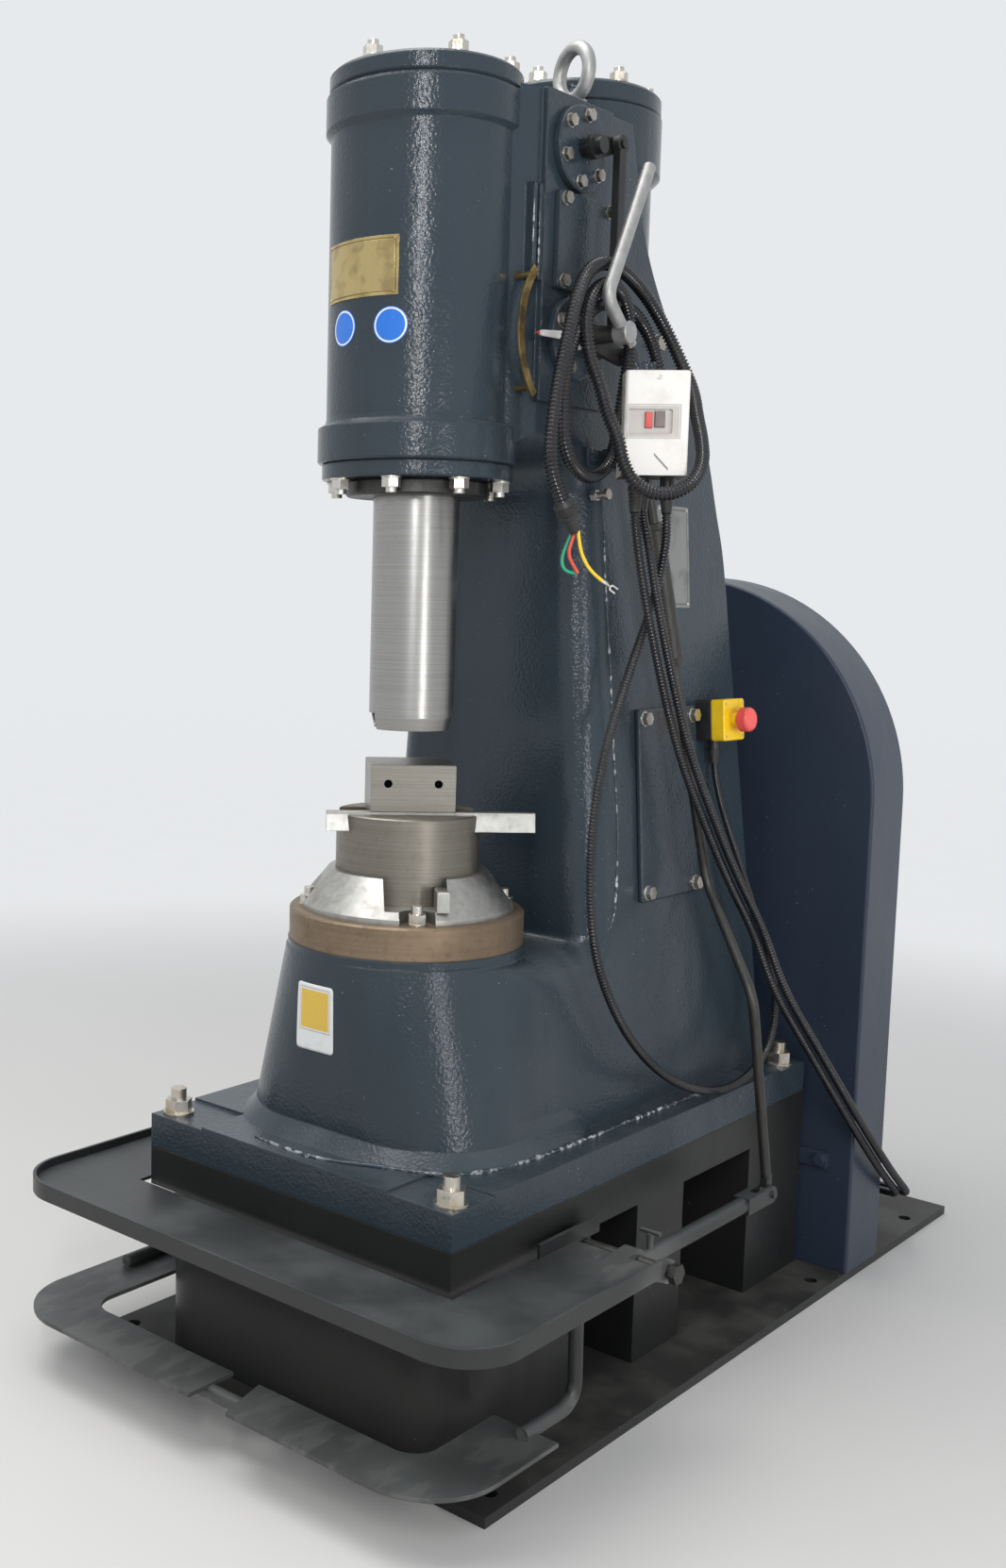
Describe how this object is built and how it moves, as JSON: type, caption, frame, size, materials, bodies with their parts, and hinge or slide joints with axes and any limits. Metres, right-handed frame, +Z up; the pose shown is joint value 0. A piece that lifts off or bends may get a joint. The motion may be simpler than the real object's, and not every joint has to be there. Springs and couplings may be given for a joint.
{
  "type": "power hammer",
  "caption": "Self-contained pneumatic forging hammer: C-frame casting with ram and compressor cylinders, anvil stack, valve lever, foot treadle, starter and guarded belt drive.",
  "frame": {"origin": "floor point under the ram axis, on the underside of the ground plate", "axes": "+Z up, -Y towards the operator's front side, +X to the flank with lever, starter and treadle arm, +Y to the belt drive"},
  "size_m": [0.924, 1.646, 1.983],
  "materials": {
    "machine_paint": "satin dark blue-grey paint, dusty",
    "inner_iron": "machined iron, oiled",
    "black_steel": "dark oiled steel with rub marks",
    "ground_steel": "ground steel",
    "zinc": "zinc-plated fasteners",
    "bright_lever": "polished bar",
    "brass_arc": "aged brass",
    "pointer_white": "white paint with a red tip",
    "bare_plate": "plain etched plate",
    "grey_plate": "plain dull plate",
    "stop_yellow": "moulded plastic",
    "stop_red": "moulded plastic",
    "button_grey": "moulded plastic",
    "starter_white": "moulded plastic",
    "conduit_black": "corrugated plastic conduit",
    "fitting_black": "moulded plastic",
    "wire_colours": "green, red and yellow insulation",
    "belt_rubber": "moulded rubber"
  },
  "bodies": {
    "frame": {"base_plate": "machine_paint", "base_box": "machine_paint", "hammer_frame": "machine_paint", "front_cover": "machine_paint", "rear_cover": "machine_paint", "gland_plate": "ground_steel", "gland_ring": "black_steel", "gland_nuts": "zinc", "cover_nuts": "zinc", "anvil_ring": "black_steel", "ring_nuts": "zinc", "collar": "black_steel", "collar_wedge": "ground_steel", "sow_block": "black_steel", "bottom_die": "ground_steel", "die_key": "ground_steel", "foundation_nuts": "zinc", "eye_bolts": "machine_paint", "side_cover": "machine_paint", "side_cover_bolts": "zinc", "data_plate": "grey_plate", "grease_nipple": "zinc", "nameplate": "bare_plate", "valve_caps": "machine_paint", "valve_cover": "machine_paint", "valve_bolts": "zinc", "quadrant": "brass_arc", "v_belts": "belt_rubber", "belt_guard": "machine_paint", "guard_bracket": "machine_paint", "motor": "machine_paint", "motor_stand": "machine_paint", "treadle_pins": "zinc", "estop_box": "stop_yellow", "starter_box": "starter_white", "starter_bracket": "zinc", "motor_conduit_a": "conduit_black", "motor_conduit_b": "conduit_black", "estop_cable": "conduit_black", "supply_hank": "conduit_black", "supply_loop": "conduit_black", "supply_tail": "conduit_black", "supply_fitting": "fitting_black", "supply_wires": "wire_colours"},
    "ram": {"ram": "ground_steel"},
    "crank": {"crankshaft": "inner_iron", "flywheel": "inner_iron"},
    "motor_rotor": {"motor_pulley": "inner_iron"},
    "piston": {"comp_piston": "inner_iron"},
    "conrod": {"connecting_rod": "inner_iron"},
    "treadle": {"treadle": "machine_paint"},
    "control_rod": {"treadle_rod": "machine_paint"},
    "lever": {"lower_spindle": "ground_steel", "hand_lever": "bright_lever", "pointer": "pointer_white"},
    "upper_valve": {"upper_spindle": "ground_steel"},
    "link": {"link_rod": "black_steel"},
    "stop_button": {"estop_button": "stop_red"},
    "red_button": {"starter_red_button": "stop_red"},
    "black_button": {"starter_black_button": "button_grey"}
  },
  "joints": [
    {"name": "ram_slide", "type": "slide", "parent": "frame", "child": "ram", "axis": [0, 0, 1], "range_m": [0, 0.25]},
    {"name": "crank_spin", "type": "hinge", "parent": "frame", "child": "crank", "pos_m": [0, 0.6, 0.84], "axis": [0, 1, 0], "continuous": true},
    {"name": "motor_spin", "type": "hinge", "parent": "frame", "child": "motor_rotor", "pos_m": [0, 0.83, 0.232], "axis": [0, 1, 0], "continuous": true},
    {"name": "piston_slide", "type": "slide", "parent": "frame", "child": "piston", "axis": [0, 0, 1], "range_m": [0, 0.16]},
    {"name": "conrod_swing", "type": "hinge", "parent": "piston", "child": "conrod", "pos_m": [0, 0.362, 1.28], "axis": [0, 1, 0], "range_deg": [-8.8, 8.8]},
    {"name": "treadle_tilt", "type": "hinge", "parent": "frame", "child": "treadle", "pos_m": [0, 0.044, 0.261], "axis": [1, 0, 0], "range_deg": [0, 5], "stiffness_Nm_per_rad": 260, "springref_deg": -25.78},
    {"name": "rod_foot", "type": "hinge", "parent": "treadle", "child": "control_rod", "pos_m": [0.385, 0.445, 0.25], "axis": [1, 0, 0], "range_deg": [-5.1, 0.1]},
    {"name": "lever_turn", "type": "hinge", "parent": "frame", "child": "lever", "pos_m": [0.2, 0.148, 1.555], "axis": [1, 0, 0], "range_deg": [-0.1, 21.4]},
    {"name": "upper_valve_turn", "type": "hinge", "parent": "frame", "child": "upper_valve", "pos_m": [0.18, 0.148, 1.819], "axis": [1, 0, 0], "range_deg": [-0.1, 21.4]},
    {"name": "link_turn", "type": "hinge", "parent": "upper_valve", "child": "link", "pos_m": [0.202, 0.19495, 1.82898], "axis": [1, 0, 0], "range_deg": [-21.4, 0.1]},
    {"name": "stop_press", "type": "slide", "parent": "frame", "child": "stop_button", "axis": [-0.9977, 0, -0.0679], "range_m": [0, 0.005], "stiffness_N_per_m": 2000, "springref_m": -0.002},
    {"name": "red_press", "type": "slide", "parent": "frame", "child": "red_button", "axis": [-0.6225, 0.7826, 0], "range_m": [0, 0.003], "stiffness_N_per_m": 1200, "springref_m": -0.002},
    {"name": "black_press", "type": "slide", "parent": "frame", "child": "black_button", "axis": [-0.6225, 0.7826, 0], "range_m": [0, 0.003], "stiffness_N_per_m": 1200, "springref_m": -0.002}
  ],
  "couplings": [
    {"joint": "motor_spin", "follows": "crank_spin", "ratio": 4.5833},
    {"joint": "rod_foot", "follows": "treadle_tilt", "ratio": -1},
    {"joint": "lever_turn", "follows": "treadle_tilt", "ratio": 4.24},
    {"joint": "upper_valve_turn", "follows": "treadle_tilt", "ratio": 4.24},
    {"joint": "link_turn", "follows": "treadle_tilt", "ratio": -4.24}
  ]
}
